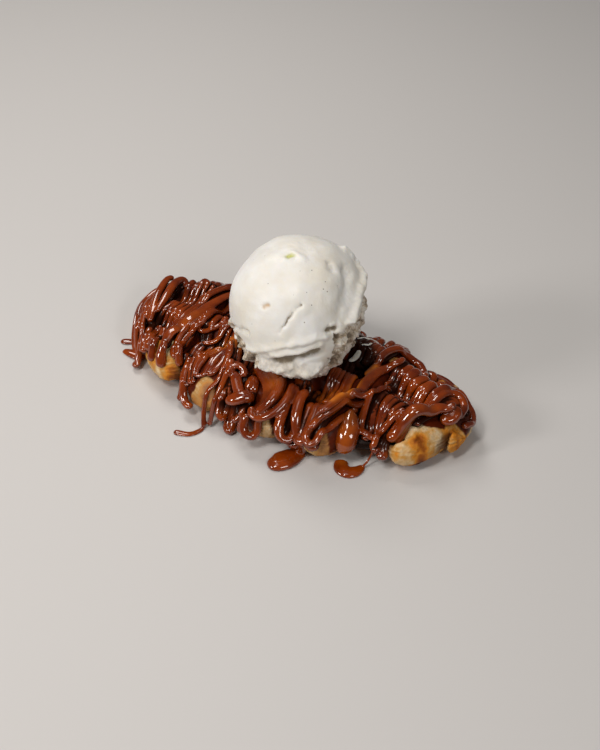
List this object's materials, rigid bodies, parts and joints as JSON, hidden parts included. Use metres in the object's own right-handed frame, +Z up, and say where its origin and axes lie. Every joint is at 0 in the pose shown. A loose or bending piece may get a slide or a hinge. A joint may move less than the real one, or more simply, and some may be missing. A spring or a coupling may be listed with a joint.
{
  "type": "croffle",
  "caption": "Pressed croissant waffle under a heavy chocolate drizzle, with a scoop of vanilla ice cream on top.",
  "frame": {"origin": "the flat of the underside where two bars of the waffle pattern cross, below the middle of the pastry", "axes": "+Z up, +X along the pastry's length, -Y towards the front edge"},
  "size_m": [0.1821, 0.1027, 0.0823],
  "materials": {
    "chocolate": "glossy melted chocolate",
    "pastry": "baked flaky dough",
    "ice_cream": "frozen cream, moist"
  },
  "bodies": {
    "root": {"croffle": "chocolate", "ice_cream_scoop": "ice_cream"}
  },
  "joints": []
}
